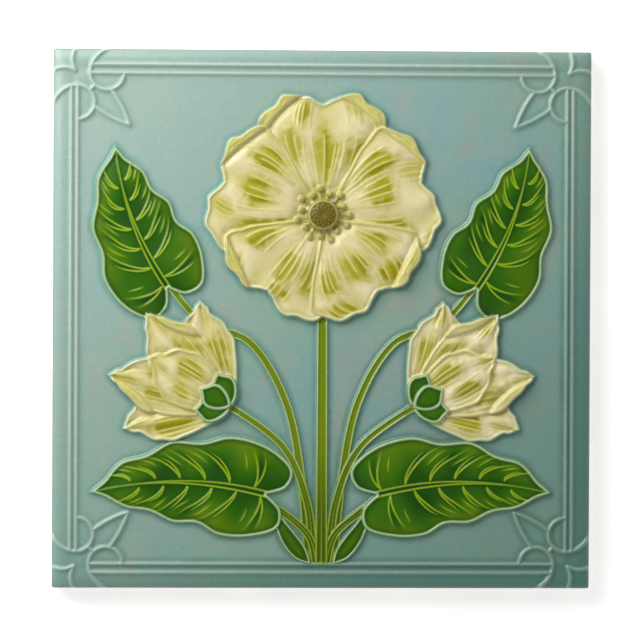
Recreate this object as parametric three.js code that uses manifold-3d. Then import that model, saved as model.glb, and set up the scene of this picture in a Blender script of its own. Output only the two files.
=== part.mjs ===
// A moulded majolica wall tile in the art nouveau manner, pressed and fired as one piece.
// Its face has a sloping border with two raised lines, a loop-and-bud ornament in each corner,
// and a low relief of cream blossoms, broad leaves and stems on a sunken ground.
// Units are millimetres. The tile lies on its ribbed back, face up: +Z is out of the face,
// +Y is the top of the picture, and the origin is the middle of the back.

import * as THREE from 'three';
import { mergeVertices } from 'three/addons/utils/BufferGeometryUtils.js';
import Module from 'manifold-3d';

const wasm = await Module();
wasm.setup();

// Tile body
const tileWidth = 152.4;
const tileLength = 152.4;
const bodyThickness = 8.0; // from the back to the picture's ground
const planCornerRadius = 0.8;
const leastPlanRadius = 0.3; // what is left of it where the border's slope ends
const backEdgeChamfer = 0.6;
const borderWidth = 3.7; // of the slope between the tile's edge and the first raised line
const borderDrop = 1.5; // of that slope

// Keying grooves in the back
const grooveCount = 7;
const grooveWidth = 9.0;
const grooveSpacing = 19.0;
const grooveDepth = 1.2;
const grooveEndMargin = 11.0; // of plain back between a groove's end and the tile's edge

// Raised lines of the border
const lineWidth = 1.25;
const lineHeight = 0.8;
const outerLineInset = 4.6; // along the top and the bottom
const outerSideInset = 5.3; // of the same line along the left and the right
const innerLineInset = 7.0;
const shoulderOut = 0.4; // share of a line's or stem's width at which its back turns down
const shoulderRise = 0.6; // share of its height there

// Corner ornament, measured from the tile's own corner
const loopRadius = 4.8;
const loopAlong = 15.3; // from the corner to a loop's centre, along the border
const hornTurn = 2.8; // from the edge to where a loop's end starts to run out to it
const budTip = 21.6; // from the corner to the bud's tip, along each edge
const budFoot = 1.2; // along the border, from a loop's centre to where the bud leaves the loop
const budBulge = [1.7, 5.4]; // from the tip to where the bud's side turns, out and back
const squareSide = 6.3; // of the small square that fills the outermost corner
const squareHollow = 1.6; // how far its inner sides curve in

// Relief heights above the ground
const stemHeight = 0.9;
const leafHeight = 1.3;
const bladeHeight = 1.0;
const backPetalHeight = 1.5;
const innerPetalHeight = 1.8;
const frontPetalHeight = 2.0;
const calyxHeight = 2.3;
const bossHeight = 2.9;
const rimShare = 0.55; // how much of a petal's or leaf's height its rim has
const crownFrom = 0.25; // share of a form's width at which it reaches its full crown
const rootDepth = 0.8; // how far each raised form is carried down into the body

// Main blossom, seen from the front
const blossomY = 29.5;
const blossomPetals = 5;
const blossomUpperReach = 33.5; // of the petal that points up
const blossomLowerReach = 28.0; // of the petals that point down
const blossomPetalWidth = 36.0;
const bossRadius = 4.4;
const petalRoot = 1.4; // from a blossom's middle to where its petals start

// Side blossoms, half open and seen from the side
const sideBlossomX = 24.5;
const sideBlossomY = -25.5;
const sideBlossomTurn = 31; // degrees above horizontal
const sideOuterReach = 32.0;
const sideInnerReach = 37.0;
const sideFrontReach = 28.5;
const sideOuterFan = 41; // degrees between the middle and an outer petal
const sideInnerFan = 16;
const sideOuterBend = 0.16; // how far an outer petal bows, as a share of its reach
const sideInnerBend = 0.06;
const sidePetalWidth = 16.0;
const calyxReach = 11.5;
const calyxWidth = 7.2;
const calyxFan = 32;
const stemLap = 2.6; // how far a stem runs on under the leaf or blossom that it carries

// Leaves
const upperLeafBase = [43.5, 8.5];
const upperLeafTip = [58.5, 48.5];
const upperLeafWidth = 28.5;
const upperLeafBend = -0.13; // how far the midrib bows, as a share of the leaf's length
const lowerLeafBase = [15.5, -49.5];
const lowerLeafTip = [65.0, -49.0];
const lowerLeafWidth = 28.0;
const lowerLeafBend = 0.13;

// Stems and the blades at their foot
const mainStemWidth = 3.4;
const branchStemWidth = 2.6;
const stemTaper = 0.78; // how much of its width a stem has left at its head
const bladeFootX = 3.0;
const bladeLength = 20.0;
const bladeTurn = 57; // degrees above horizontal
const bladeBend = 0.12;
const bladeWidth = 4.6;

// How finely curves are cut into straight pieces
const sideSteps = 14; // along one side of a leaf or petal
const crownSteps = 2; // from a leaf's or petal's midrib to its rim
const stemSteps = 12;
const loopSteps = 12;
const bendSteps = 5; // along one of the ornament's short bends
const slopeSteps = 3; // down the border's slope
const planSteps = 4; // round one of the tile's corners
const domeSides = 16; // of the boss

const half = 0.5;
const groundZ = bodyThickness;
const radians = THREE.MathUtils.degToRad;
const glaze = new THREE.MeshStandardMaterial({ color: 0x9bbcb5, roughness: 0.18, metalness: 0 });

// Solids

function solidOf(geometry) {
  const bare = geometry.clone();
  bare.deleteAttribute('normal');
  bare.deleteAttribute('uv');
  const merged = mergeVertices(bare);
  const mesh = new wasm.Mesh({
    numProp: 3,
    vertProperties: new Float32Array(merged.attributes.position.array),
    triVerts: new Uint32Array(merged.index.array),
  });
  return new wasm.Manifold(mesh);
}

// A closed surface through rings of points that have as many points each. The first and last
// ring are closed by a fan about their first point, or by nothing where the ring is one place.
function loftGeometry(rings) {
  const count = rings[0].length;
  const positions = rings.flat().flatMap((point) => [point.x, point.y, point.z]);
  const index = [];
  const triangle = (a, b, c) => index.push(a, b, c);
  for (let ring = 0; ring < rings.length - 1; ring += 1) {
    for (let k = 0; k < count; k += 1) {
      const a = ring * count + k;
      const b = ring * count + ((k + 1) % count);
      triangle(a, b, b + count);
      triangle(a, b + count, a + count);
    }
  }
  const last = (rings.length - 1) * count;
  for (let k = 1; k < count - 1; k += 1) {
    triangle(0, k + 1, k);
    triangle(last, last + k, last + k + 1);
  }
  return indexedGeometry(positions, index);
}

// Triangles that merging has folded onto a line or a point are left out.
function indexedGeometry(positions, index) {
  const raw = new THREE.BufferGeometry();
  raw.setAttribute('position', new THREE.Float32BufferAttribute(positions, 3));
  raw.setIndex(index);
  const merged = mergeVertices(raw);
  const corners = merged.index.array;
  const kept = [];
  for (let k = 0; k < corners.length; k += 3) {
    const [a, b, c] = corners.slice(k, k + 3);
    if (a !== b && b !== c && c !== a) kept.push(a, b, c);
  }
  merged.setIndex(kept);
  return merged;
}

// Body

function roundedRectangle(width, length, radius, z) {
  const shape = new THREE.Shape();
  const x = width * half;
  const y = length * half;
  shape.moveTo(x, -y + radius);
  shape.lineTo(x, y - radius);
  shape.absarc(x - radius, y - radius, radius, 0, Math.PI * half, false);
  shape.absarc(-x + radius, y - radius, radius, Math.PI * half, Math.PI, false);
  shape.absarc(-x + radius, -y + radius, radius, Math.PI, Math.PI * 1.5, false);
  shape.absarc(x - radius, -y + radius, radius, Math.PI * 1.5, Math.PI * 2, false);
  return shape.getPoints(planSteps).map((point) => new THREE.Vector3(point.x, point.y, z));
}

function bodyRing(inset, z) {
  return roundedRectangle(
    tileWidth - 2 * inset,
    tileLength - 2 * inset,
    Math.max(planCornerRadius - inset, leastPlanRadius),
    z,
  );
}

function tileBody() {
  const rings = [bodyRing(backEdgeChamfer, 0), bodyRing(0, backEdgeChamfer)];
  for (let step = 0; step <= slopeSteps; step += 1) {
    const turn = (Math.PI * half * step) / slopeSteps;
    const inset = borderWidth * (1 - Math.cos(turn));
    rings.push(bodyRing(inset, groundZ - borderDrop * (1 - Math.sin(turn))));
  }
  return solidOf(loftGeometry(rings));
}

function grooves() {
  const length = tileLength - 2 * grooveEndMargin;
  const box = new THREE.BoxGeometry(grooveWidth, length, 2 * grooveDepth);
  const first = -((grooveCount - 1) * grooveSpacing) / 2;
  const list = [];
  for (let k = 0; k < grooveCount; k += 1) {
    list.push(solidOf(box.clone().translate(first + k * grooveSpacing, 0, 0)));
  }
  return list;
}

// Raised lines and stems

// A half-round bead along flat points, as wide as widthAt says from 0 at its start to 1 at its end.
function bead(points, widthAt, height) {
  const profile = [
    [half, -rootDepth],
    [shoulderOut, height * shoulderRise],
    [0, height],
    [-shoulderOut, height * shoulderRise],
    [-half, -rootDepth],
  ];
  const rings = points.map((point, k) => {
    const before = points[Math.max(k - 1, 0)];
    const after = points[Math.min(k + 1, points.length - 1)];
    const along = new THREE.Vector2().subVectors(after, before).normalize();
    const width = widthAt(k / (points.length - 1));
    return profile.map(([side, rise]) => new THREE.Vector3(
      point.x - along.y * side * width,
      point.y + along.x * side * width,
      groundZ + rise,
    ));
  });
  return solidOf(loftGeometry(rings));
}

function lineAlong(points) {
  return bead(points, () => lineWidth, lineHeight);
}

function arcPoints(x, y, radius, from, to, steps) {
  return Array.from({ length: steps + 1 }, (unused, k) => {
    const turn = radians(from + ((to - from) * k) / steps);
    return new THREE.Vector2(x + radius * Math.cos(turn), y + radius * Math.sin(turn));
  });
}

// Border

function borderLines() {
  const lines = [];
  const reach = loopAlong - loopRadius;
  for (const [insetX, insetY] of [[outerSideInset, outerLineInset], [innerLineInset, innerLineInset]]) {
    const x = tileWidth * half - insetX;
    const y = tileLength * half - insetY;
    const endX = tileWidth * half - reach;
    const endY = tileLength * half - reach;
    for (const side of [-1, 1]) {
      lines.push(lineAlong([new THREE.Vector2(-endX, side * y), new THREE.Vector2(endX, side * y)]));
      lines.push(lineAlong([new THREE.Vector2(side * x, -endY), new THREE.Vector2(side * x, endY)]));
    }
  }
  return lines;
}

// One corner's lines with the tile's corner at 0, 0 and the tile in the +X +Y quarter.
function cornerCurves() {
  const edgeClearance = lineWidth;
  const left = loopAlong - loopRadius;
  const horn = new THREE.QuadraticBezierCurve(
    new THREE.Vector2(loopAlong, edgeClearance),
    new THREE.Vector2(left, hornTurn),
    new THREE.Vector2(left, innerLineInset),
  ).getPoints(bendSteps);
  const loop = arcPoints(loopAlong, innerLineInset, loopRadius, 180, 0, loopSteps);
  const budSide = new THREE.QuadraticBezierCurve(
    new THREE.Vector2(loopAlong + budFoot, innerLineInset + loopRadius),
    new THREE.Vector2(budTip - budBulge[0], budTip - budBulge[1]),
    new THREE.Vector2(budTip, budTip),
  ).getPoints(bendSteps);
  const squareLeg = new THREE.QuadraticBezierCurve(
    new THREE.Vector2(squareSide, edgeClearance),
    new THREE.Vector2(squareSide - squareHollow, squareSide * half),
    new THREE.Vector2(squareSide, squareSide),
  ).getPoints(bendSteps);
  return [horn.concat(loop.slice(1)), budSide, squareLeg, loopKnot()];
}

// Half of the short bar that ties a corner's two loops together, from its loop to the diagonal.
function loopKnot() {
  const centre = new THREE.Vector2(loopAlong, innerLineInset);
  const middle = new THREE.Vector2(half * (loopAlong + innerLineInset), half * (loopAlong + innerLineInset));
  const onLoop = middle.clone().sub(centre).setLength(loopRadius).add(centre);
  return [onLoop, middle];
}

function cornerOrnaments() {
  const lines = [];
  const swap = (point) => new THREE.Vector2(point.y, point.x);
  for (const curve of cornerCurves()) {
    for (const version of [curve, curve.map(swap).reverse()]) {
      for (const sideX of [-1, 1]) {
        for (const sideY of [-1, 1]) {
          const placed = version.map((point) => new THREE.Vector2(
            sideX * (point.x - tileWidth * half),
            sideY * (point.y - tileLength * half),
          ));
          lines.push(lineAlong(placed));
        }
      }
    }
  }
  return lines;
}

// Leaves and petals

// Half outlines from the base to the tip, as shares of the length along the midrib and of the full
// width across it. A negative share along is behind the base, as in a leaf's lobes.
const leafProfile = [
  [0, 0], [-0.1, 0.12], [-0.1, 0.32], [0.06, 0.47], [0.24, 0.5], [0.38, 0.41],
  [0.53, 0.41], [0.66, 0.3], [0.8, 0.24], [0.91, 0.1], [1, 0],
];
const petalProfile = [
  [0, 0], [0.1, 0.1], [0.3, 0.26], [0.5, 0.42], [0.68, 0.5], [0.83, 0.47],
  [0.93, 0.38], [1.0, 0.28], [1.01, 0.15], [0.95, 0.04], [0.93, 0],
];
const slimPetalProfile = [
  [0, 0], [0.14, 0.24], [0.34, 0.42], [0.56, 0.5], [0.74, 0.43], [0.87, 0.22], [0.95, 0.1], [1, 0],
];
const bladeProfile = [[0, 0], [0.2, 0.44], [0.45, 0.5], [0.75, 0.3], [1, 0]];

// A crowned pad on a bent midrib: highest along the midrib, lower at the rim.
function crownedPad({ base, tip, bend = 0, width, profile, height }) {
  const start = new THREE.Vector2(...base);
  const end = new THREE.Vector2(...tip);
  const run = new THREE.Vector2().subVectors(end, start);
  const across = new THREE.Vector2(-run.y, run.x);
  const middle = start.clone().addScaledVector(run, half).addScaledVector(across, bend);
  const midrib = new THREE.QuadraticBezierCurve(start, middle, end);
  const outline = new THREE.SplineCurve(profile.map(([along, out]) => new THREE.Vector2(along, out)));

  const rows = outline.getPoints(sideSteps).map((share) => {
    const t = THREE.MathUtils.clamp(share.x, 0, 1);
    const root = midrib.getPoint(t);
    const tangent = midrib.getTangent(t);
    const beyond = (share.x - t) * run.length();
    const out = Math.max(share.y, 0) * width;
    const fullness = Math.min(share.y / crownFrom, 1);
    return [1, -1].map((side) => ({
      root,
      fullness,
      rim: new THREE.Vector2(
        root.x + tangent.x * beyond - tangent.y * out * side,
        root.y + tangent.y * beyond + tangent.x * out * side,
      ),
    }));
  });

  const floorZ = groundZ - rootDepth;
  const rings = rows.map(([left, right]) => {
    const ring = [];
    for (let k = crownSteps; k > -crownSteps; k -= 1) {
      const share = Math.abs(k) / crownSteps;
      const place = new THREE.Vector2().lerpVectors(left.root, (k > 0 ? left : right).rim, share);
      const rise = height * (rimShare + (1 - rimShare) * (1 - share * share) * left.fullness);
      ring.push(new THREE.Vector3(place.x, place.y, groundZ + rise));
    }
    ring.push(new THREE.Vector3(right.rim.x, right.rim.y, groundZ + height * rimShare));
    ring.push(new THREE.Vector3(right.rim.x, right.rim.y, floorZ));
    ring.push(new THREE.Vector3(left.rim.x, left.rim.y, floorZ));
    return ring;
  });
  return solidOf(loftGeometry(rings));
}

function polar(centre, degrees, reach) {
  return [
    centre[0] + reach * Math.cos(radians(degrees)),
    centre[1] + reach * Math.sin(radians(degrees)),
  ];
}

function mirrored([x, y], side) {
  return [side * x, y];
}

function mainBlossom() {
  const centre = [0, blossomY];
  const solids = [];
  for (let k = 0; k < blossomPetals; k += 1) {
    const degrees = 90 + (360 / blossomPetals) * k;
    const upward = (1 + Math.sin(radians(degrees))) * half;
    solids.push(crownedPad({
      base: polar(centre, degrees, petalRoot),
      tip: polar(centre, degrees, THREE.MathUtils.lerp(blossomLowerReach, blossomUpperReach, upward)),
      width: blossomPetalWidth,
      profile: petalProfile,
      height: k % 2 ? backPetalHeight : frontPetalHeight,
    }));
  }
  const dome = new THREE.SphereGeometry(bossRadius, domeSides, domeSides * half);
  dome.scale(1, 1, bossHeight / bossRadius).translate(0, blossomY, groundZ);
  solids.push(solidOf(dome));
  return solids;
}

function sideBlossom(side) {
  const petals = [
    { fan: sideOuterFan, reach: sideOuterReach, bend: sideOuterBend, height: backPetalHeight },
    { fan: -sideOuterFan, reach: sideOuterReach, bend: -sideOuterBend, height: backPetalHeight },
    { fan: sideInnerFan, reach: sideInnerReach, bend: sideInnerBend, height: innerPetalHeight },
    { fan: -sideInnerFan, reach: sideInnerReach, bend: -sideInnerBend, height: innerPetalHeight },
    { fan: 0, reach: sideFrontReach, bend: 0, height: frontPetalHeight },
  ];
  const sepals = [-calyxFan, 0, calyxFan].map((fan) => (
    { fan, reach: calyxReach, bend: 0, height: calyxHeight, width: calyxWidth }
  ));
  const base = [sideBlossomX, sideBlossomY];
  return petals.concat(sepals).map(({ fan, reach, bend, height, width = sidePetalWidth }) => (
    crownedPad({
      base: mirrored(polar(base, sideBlossomTurn + fan, petalRoot), side),
      tip: mirrored(polar(base, sideBlossomTurn + fan, reach), side),
      bend: -bend * side,
      width,
      profile: slimPetalProfile,
      height,
    })
  ));
}

function leaves(side) {
  const upper = { base: upperLeafBase, tip: upperLeafTip, bend: upperLeafBend, width: upperLeafWidth };
  const lower = { base: lowerLeafBase, tip: lowerLeafTip, bend: lowerLeafBend, width: lowerLeafWidth };
  return [upper, lower].map(({ base, tip, bend, width }) => crownedPad({
    base: mirrored(base, side),
    tip: mirrored(tip, side),
    bend: bend * side,
    width,
    profile: leafProfile,
    height: leafHeight,
  }));
}

// Stems

// The stems rise together from the border's inner line.
const footY = -tileLength * half + innerLineInset;

// A stem ends a little way inside what it carries.
function lapped(base, tip) {
  const from = new THREE.Vector2(...base);
  const run = new THREE.Vector2(...tip).sub(from).setLength(stemLap);
  return from.add(run).toArray();
}

function stem(points, footWidth) {
  const curve = new THREE.SplineCurve(points.map(([x, y]) => new THREE.Vector2(x, y)));
  const width = (share) => footWidth * THREE.MathUtils.lerp(1, stemTaper, share);
  return bead(curve.getPoints(stemSteps), width, stemHeight);
}

function stems(side) {
  const upperLeafEnd = lapped(upperLeafBase, upperLeafTip);
  const lowerLeafEnd = lapped(lowerLeafBase, lowerLeafTip);
  const sideBase = [sideBlossomX, sideBlossomY];
  const sideBlossomEnd = polar(sideBase, sideBlossomTurn, stemLap);
  const toUpperLeaf = [[3.4, footY], [5.6, -46], [10, -24], [20, -7], [34, -1], upperLeafEnd];
  const toSideBlossom = [[2.2, footY], [4.0, -52], [11, -36], sideBlossomEnd];
  const toLowerLeaf = [[1.4, footY], [4.5, -60], lowerLeafEnd];
  return [toUpperLeaf, toSideBlossom, toLowerLeaf].map((route) => (
    stem(route.map((point) => mirrored(point, side)), branchStemWidth)
  ));
}

function blade(side) {
  const foot = [bladeFootX, footY];
  return crownedPad({
    base: mirrored(foot, side),
    tip: mirrored(polar(foot, bladeTurn, bladeLength), side),
    bend: side * bladeBend,
    width: bladeWidth,
    profile: bladeProfile,
    height: bladeHeight,
  });
}

// The whole tile

const raised = [
  ...borderLines(),
  ...cornerOrnaments(),
  stem([[0, footY], [0, blossomY]], mainStemWidth),
  ...[-1, 1].flatMap((side) => [...stems(side), blade(side), ...leaves(side), ...sideBlossom(side)]),
  ...mainBlossom(),
];

let tileSolid = tileBody();
for (const form of raised) tileSolid = tileSolid.add(form);
for (const groove of grooves()) tileSolid = tileSolid.subtract(groove);

function geometryOf(solid) {
  const mesh = solid.getMesh();
  const geometry = new THREE.BufferGeometry();
  geometry.setAttribute('position', new THREE.Float32BufferAttribute(mesh.vertProperties, 3));
  geometry.setIndex(new THREE.Uint32BufferAttribute(mesh.triVerts, 1));
  geometry.computeVertexNormals();
  return geometry;
}

const tile = new THREE.Mesh(geometryOf(tileSolid), glaze);
tile.name = 'tile';

const part = new THREE.Group();
part.add(tile);

export default part;
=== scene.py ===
"""Looks of a moulded majolica tile: a glazed face in low relief on a bare clay body.

The relief is worked out as one height field over the tile's face, in millimetres: every form is
pressed onto it in turn, from the back to the front, with a raised rim round its outline. The
meshes and the colours of the glazes both come from that field.
"""

import math

import bmesh
import bpy
import numpy as np
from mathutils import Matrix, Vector


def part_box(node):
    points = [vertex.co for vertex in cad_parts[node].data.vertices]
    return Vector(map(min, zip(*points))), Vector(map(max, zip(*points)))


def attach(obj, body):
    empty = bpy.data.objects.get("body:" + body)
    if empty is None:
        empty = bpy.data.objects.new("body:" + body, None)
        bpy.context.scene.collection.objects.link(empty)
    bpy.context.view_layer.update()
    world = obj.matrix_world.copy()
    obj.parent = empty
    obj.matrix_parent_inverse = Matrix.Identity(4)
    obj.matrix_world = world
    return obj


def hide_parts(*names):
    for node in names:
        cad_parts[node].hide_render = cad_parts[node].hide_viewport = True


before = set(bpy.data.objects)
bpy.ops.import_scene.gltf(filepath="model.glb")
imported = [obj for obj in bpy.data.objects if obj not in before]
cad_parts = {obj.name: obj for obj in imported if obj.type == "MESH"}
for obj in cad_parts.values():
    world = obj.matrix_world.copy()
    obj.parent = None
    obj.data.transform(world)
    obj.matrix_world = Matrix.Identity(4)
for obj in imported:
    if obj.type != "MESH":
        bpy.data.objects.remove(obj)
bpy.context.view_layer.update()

# Sizes in millimetres, from the frame or as in the part's source
MM = 0.001
tile_low, tile_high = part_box("tile")
TILE_WIDTH = (tile_high.x - tile_low.x) / MM
TILE_LENGTH = (tile_high.y - tile_low.y) / MM
BOSS_HEIGHT = 2.9
GROUND_Z = tile_high.z / MM - BOSS_HEIGHT
PLAN_CORNER_RADIUS = 0.8
BORDER_WIDTH = 3.7
BORDER_DROP = 1.5

GROOVE_COUNT = 7
GROOVE_WIDTH = 9.0
GROOVE_SPACING = 19.0
GROOVE_DEPTH = 1.2
GROOVE_END_MARGIN = 11.0

OUTER_LINE_INSET = 4.6
OUTER_SIDE_INSET = 5.3
INNER_LINE_INSET = 7.0
OUTER_LINE_GAP = 0.45
LINE_HEIGHT = 0.68
LINE_SPREAD = 0.5
GUTTER_DEPTH = 0.12
MITRE_SOFTNESS = 2.4
GROUND_WAVE = 0.05

LOOP_RADIUS = 4.8
LOOP_ALONG = 15.3
HORN_TURN = 2.8
BUD_TIP = 21.6
BUD_FOOT = 1.2
BUD_BULGE = (1.7, 5.4)
SQUARE_SIDE = 6.3
SQUARE_HOLLOW = 1.6

BLOSSOM_CENTRE = (0.0, 29.5)
BLOSSOM_PETALS = 5
BLOSSOM_UPPER_REACH = 33.5
BLOSSOM_LOWER_REACH = 28.0
BLOSSOM_PETAL_WIDTH = 36.0
BOSS_RADIUS = 4.4
PETAL_ROOT = 1.4
STAMEN_COUNT = 15
STAMEN_REACHES = (3.0, 1.7)
STAMEN_WIDTH = 0.7
BEAD_RADIUS = 0.85

SIDE_BLOSSOM = (24.5, -25.5)
SIDE_TURN = 31
SIDE_OUTER_REACH = 32.0
SIDE_INNER_REACH = 37.0
SIDE_FRONT_REACH = 28.5
SIDE_OUTER_FAN = 41
SIDE_INNER_FAN = 16
SIDE_OUTER_BEND = 0.16
SIDE_INNER_BEND = 0.06
SIDE_PETAL_WIDTH = 16.0
CALYX_REACH = 11.5
CALYX_WIDTH = 7.2
CALYX_FAN = 32
STEM_LAP = 2.6

UPPER_LEAF = {"base": (43.5, 8.5), "tip": (58.5, 48.5), "bend": -0.13, "width": 28.5}
LOWER_LEAF = {"base": (15.5, -49.5), "tip": (65.0, -49.0), "bend": 0.13, "width": 28.0}

FOOT_Y = -TILE_LENGTH / 2 + INNER_LINE_INSET
MAIN_STEM_WIDTH = 3.4
BRANCH_STEM_WIDTH = 2.6
STEM_TAPER = 0.78
BLADE_FOOT_X = 3.0
BLADE_LENGTH = 20.0
BLADE_TURN = 57
BLADE_BEND = 0.12
BLADE_WIDTH = 4.6

LEAF_PROFILE = [
    (0, 0), (-0.1, 0.12), (-0.1, 0.32), (0.06, 0.47), (0.24, 0.5), (0.38, 0.41),
    (0.53, 0.41), (0.66, 0.3), (0.8, 0.24), (0.91, 0.1), (1, 0),
]
PETAL_PROFILE = [
    (0, 0), (0.1, 0.1), (0.3, 0.26), (0.5, 0.42), (0.68, 0.5), (0.83, 0.47),
    (0.93, 0.38), (1.0, 0.28), (1.01, 0.15), (0.95, 0.04), (0.93, 0),
]
SLIM_PETAL_PROFILE = [
    (0, 0), (0.14, 0.24), (0.34, 0.42), (0.56, 0.5), (0.74, 0.43), (0.87, 0.22), (0.95, 0.1), (1, 0),
]
BLADE_PROFILE = [(0, 0), (0.2, 0.44), (0.45, 0.5), (0.75, 0.3), (1, 0)]

# Rises of the relief above the ground, and the raised rim round each form
STEM_RISE = 0.35
LEAF_RISE = 0.5
PETAL_RISE = 0.7
PETAL_STEP = 0.32
LIP_LIFT = 0.1
STAMEN_RISE = 1.05
BEAD_RISE = 1.35
BOSS_RISE = 1.6
RIM_HEIGHT = 0.4
RIM_INSET = 0.4
RIM_SPREAD = 0.44
SLIM_RIM_HEIGHT = 0.36
SLIM_RIM_BREADTH = 0.6

# What shapes a form between its rims
PETAL_DOME = 0.5
PETAL_FOLD = 0.16
PETAL_RUFFLE = 0.14
PETAL_LINE = 0.15
LEAF_DOME = 0.5
LEAF_CHANNEL = 0.07
LEAF_VEIN = 0.19
LEAF_SWAY = 0.3
LIP_ROLL = 0.95
LIP_LINE = 0.12

# A form presses down the one that it overlaps, but not beneath the ground
UNDERCUT = 0.35
SLIM_UNDERCUT = 0.1
UNDERCUT_SPREAD = 1.5
LOWEST_RELIEF = 0.2

FIELD_STEP = 0.2
FAR = 9.0

# The glazes on the relief. The ground's glaze has the share of a place that they leave.
GLAZES = ("stem", "leaf", "petal", "boss")


# Numbers

def smooth(low, high, value):
    """0 below low, 1 above high, and an S curve between."""
    t = np.clip((value - low) / (high - low), 0, 1)
    return t * t * (3 - 2 * t)


def bell(value, spread):
    return np.exp(-((value / spread) ** 2))


def dome(depth, run):
    """0 at a form's outline, and nearer to 1 the deeper a place lies in it."""
    return 1 - np.exp(-np.maximum(depth, 0) / run)


def mix(a, b, share):
    return a + (b - a) * share


def polar(centre, degrees, reach):
    turn = math.radians(degrees)
    return (centre[0] + reach * math.cos(turn), centre[1] + reach * math.sin(turn))


def mirrored(point, side):
    return (side * point[0], point[1])


def spline(points, steps):
    """A Catmull-Rom curve through the points, with that many steps between each two."""
    p = np.array(points, float)
    padded = np.vstack([p[:1], p, p[-1:]])
    t = (np.arange(steps) / steps)[:, None]
    parts = []
    for p0, p1, p2, p3 in zip(padded, padded[1:], padded[2:], padded[3:]):
        v0, v1 = (p2 - p0) / 2, (p3 - p1) / 2
        cubic = 2 * p1 - 2 * p2 + v0 + v1
        square = -3 * p1 + 3 * p2 - 2 * v0 - v1
        parts.append(cubic * t ** 3 + square * t ** 2 + v0 * t + p1)
    return np.vstack(parts + [p[-1:]])


def bezier(a, b, c, steps):
    a, b, c = (np.array(point, float) for point in (a, b, c))
    t = np.linspace(0, 1, steps + 1)[:, None]
    return a * (1 - t) ** 2 + b * 2 * t * (1 - t) + c * t ** 2


def arc(centre, radius, start, end, steps):
    turn = np.radians(np.linspace(start, end, steps + 1))
    return np.column_stack([
        centre[0] + radius * np.cos(turn),
        centre[1] + radius * np.sin(turn),
    ])


def tangents(path):
    step = np.gradient(path, axis=0)
    return step / np.hypot(step[:, 0], step[:, 1])[:, None]


def to_left(directions):
    return np.column_stack([-directions[:, 1], directions[:, 0]])


def distance_to_path(x, y, path, strengths=None):
    """Distance from each place to an open path and, where asked, the path's strength there."""
    best = np.full(x.shape, FAR ** 2 * 4)
    strength = np.zeros(x.shape)
    for k in range(len(path) - 1):
        (ax, ay), (bx, by) = path[k], path[k + 1]
        dx, dy = bx - ax, by - ay
        t = np.clip(((x - ax) * dx + (y - ay) * dy) / (dx * dx + dy * dy + 1e-12), 0, 1)
        d = (x - ax - t * dx) ** 2 + (y - ay - t * dy) ** 2
        closer = d < best
        best = np.where(closer, d, best)
        if strengths is not None:
            here = strengths[k] + (strengths[k + 1] - strengths[k]) * t
            strength = np.where(closer, here, strength)
    return (np.sqrt(best), strength) if strengths is not None else np.sqrt(best)


def raised_lines(x, y, lines, spread):
    """The strongest of some lines at each place: its strength along its middle, 0 far away."""
    height = np.zeros(x.shape)
    for path, strengths in lines:
        away, strength = distance_to_path(x, y, path, strengths)
        height = np.maximum(height, strength * bell(away, spread))
    return height


def inside_polygon(x, y, outline):
    inside = np.zeros(x.shape, bool)
    for k in range(len(outline)):
        (ax, ay), (bx, by) = outline[k - 1], outline[k]
        if ay == by:
            continue
        inside ^= ((ay > y) != (by > y)) & (x < (bx - ax) * (y - ay) / (by - ay) + ax)
    return inside


def streak_noise(across, along, seed, frequencies):
    """Smooth noise from 0 to 1 that runs in long streaks along a form."""
    draw = np.random.default_rng(seed)
    total = np.zeros(across.shape)
    for frequency in frequencies:
        phase, lean = draw.uniform(0, 2 * math.pi), draw.uniform(-1.5, 1.5)
        total += np.cos(across * frequency + phase + along * lean)
    return 0.5 + 0.5 * total / len(frequencies)


def patch_noise(x, y, size, seed, octaves=3):
    """Soft noise from 0 to 1 with patches of that size, made of crossing waves."""
    draw = np.random.default_rng(seed)
    total, weight = np.zeros(x.shape), 0.0
    for octave in range(octaves):
        share = 0.6 ** octave
        for _ in range(4):
            turn = draw.uniform(0, 2 * math.pi)
            wave = 2 * math.pi / (size * draw.uniform(0.8, 1.4) / 2 ** octave)
            shift = draw.uniform(0, 2 * math.pi)
            total += share * np.sin((x * math.cos(turn) + y * math.sin(turn)) * wave + shift)
            weight += share * 0.5
    return np.clip(0.5 + 0.5 * total / weight, 0, 1)


# The face's field

class Field:
    """Arrays over a rectangle of the face: its height and what the glazes need to know there."""

    LAYERS = GLAZES + ("vein", "olive", "deep", "tone", "ridge", "inner")

    def __init__(self, x, y):
        self.x, self.y = np.meshgrid(x, y)
        self.owner = np.zeros(self.x.shape, int)
        for layer in self.LAYERS + ("height", "border"):
            setattr(self, layer, np.zeros(self.x.shape))
        for layer in ("outside", "line"):
            setattr(self, layer, np.full(self.x.shape, FAR))

    def window(self, points, margin=FAR * 0.6):
        """The slices of rows and columns that hold the points and a margin round them."""
        low, high = points.min(0) - margin, points.max(0) + margin
        columns = np.where((self.x[0] >= low[0]) & (self.x[0] <= high[0]))[0]
        rows = np.where((self.y[:, 0] >= low[1]) & (self.y[:, 0] <= high[1]))[0]
        return slice(rows[0], rows[-1] + 1), slice(columns[0], columns[-1] + 1)


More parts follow.
